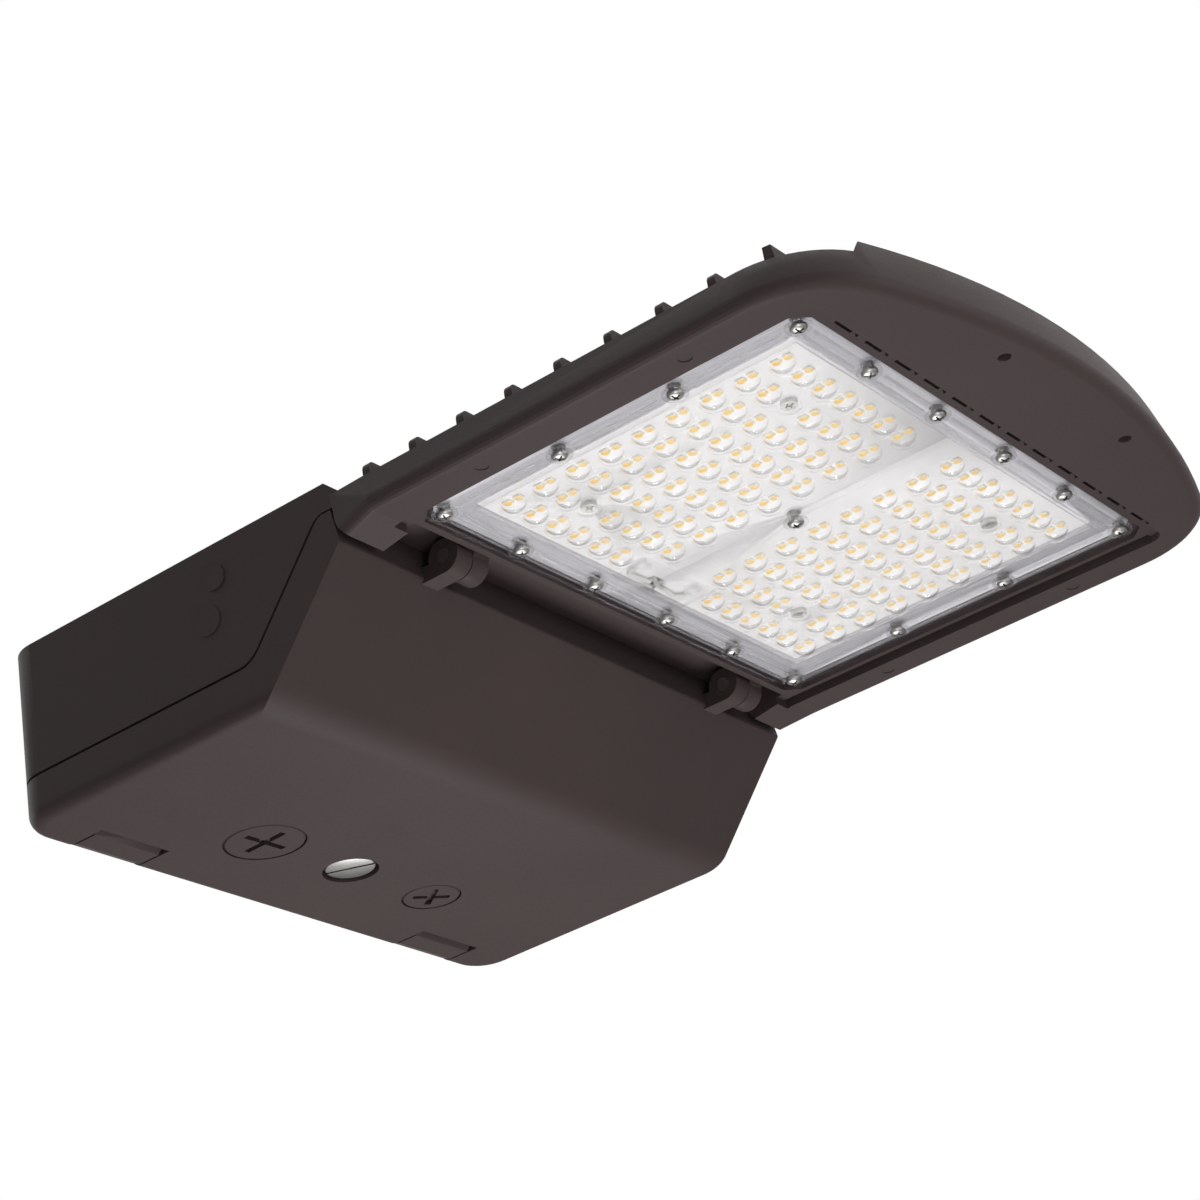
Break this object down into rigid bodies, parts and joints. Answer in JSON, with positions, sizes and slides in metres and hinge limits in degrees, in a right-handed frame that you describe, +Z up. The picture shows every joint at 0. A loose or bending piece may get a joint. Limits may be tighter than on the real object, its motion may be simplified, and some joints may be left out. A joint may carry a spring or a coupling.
{
  "type": "shoebox area light",
  "caption": "Flat LED area light: driver box with a hinged tray door, finned head with a domed clear lens plate, and a rear face that bolts to a pole arm.",
  "frame": {"origin": "middle of the two rear bolt holes, on the rear mounting face", "axes": "+X from the mounting face to the tip of the head, +Y across the light, +Z up, away from the lens"},
  "size_m": [0.3545, 0.247, 0.0632],
  "materials": {
    "bronze_coat": "satin",
    "black_rubber": "matte",
    "white_rubber": "matte",
    "steel": "satin",
    "green_screw": "satin",
    "white_board": "satin",
    "led_phosphor": "matte",
    "clear_lens": "gloss",
    "driver_case": "satin",
    "black_plastic": "matte",
    "pale_plastic": "matte",
    "black_lead": "satin",
    "white_lead": "satin"
  },
  "bodies": {
    "housing": {"housing": "bronze_coat", "hinge_pins": "steel", "led_board_left": "white_board", "led_board_right": "white_board", "led_chips_left": "led_phosphor", "led_chips_right": "led_phosphor", "board_screws": "steel", "lens_plate": "clear_lens", "lens_gasket": "white_rubber", "lens_screws": "steel", "driver": "driver_case", "driver_screws": "steel", "surge_protector": "black_plastic", "terminal_block": "pale_plastic", "ac_leads": "black_lead", "dc_leads": "white_lead", "lead_grommet": "black_rubber", "ground_screw": "green_screw"},
    "door": {"door": "bronze_coat", "door_gasket": "black_rubber"},
    "door_screw_slide": {"screw_retainer": "steel"},
    "door_screw": {"captive_screw": "steel"},
    "large_plug_slide": {"large_plug_seal": "black_rubber"},
    "large_plug": {"large_plug": "bronze_coat"},
    "small_plug_slide": {"small_plug_seal": "black_rubber"},
    "small_plug": {"small_plug": "bronze_coat"}
  },
  "joints": [
    {"name": "door_swing", "type": "hinge", "parent": "housing", "child": "door", "pos_m": [0.158, 0, 0.006], "axis": [0, -1, 0], "range_deg": [0, 90]},
    {"name": "door_screw_out", "type": "slide", "parent": "door", "child": "door_screw_slide", "axis": [0, 0, -1], "range_m": [0, 0.005]},
    {"name": "door_screw_turn", "type": "hinge", "parent": "door_screw_slide", "child": "door_screw", "pos_m": [0.0407, 0, -0.035], "axis": [0, 0, -1], "range_deg": [0, 2250]},
    {"name": "large_plug_out", "type": "slide", "parent": "door", "child": "large_plug_slide", "axis": [0, 0, -1], "range_m": [0, 0.012]},
    {"name": "large_plug_turn", "type": "hinge", "parent": "large_plug_slide", "child": "large_plug", "pos_m": [0.0407, -0.0434, -0.035], "axis": [0, 0, -1], "range_deg": [0, 2382]},
    {"name": "small_plug_out", "type": "slide", "parent": "door", "child": "small_plug_slide", "axis": [0, 0, -1], "range_m": [0, 0.012]},
    {"name": "small_plug_turn", "type": "hinge", "parent": "small_plug_slide", "child": "small_plug", "pos_m": [0.0407, 0.0434, -0.035], "axis": [0, 0, -1], "range_deg": [0, 2382]}
  ],
  "couplings": [
    {"joint": "door_screw_turn", "follows": "door_screw_out", "rad_per_m": 7853.9},
    {"joint": "large_plug_turn", "follows": "large_plug_out", "rad_per_m": 3463.2},
    {"joint": "small_plug_turn", "follows": "small_plug_out", "rad_per_m": 3463.2}
  ]
}
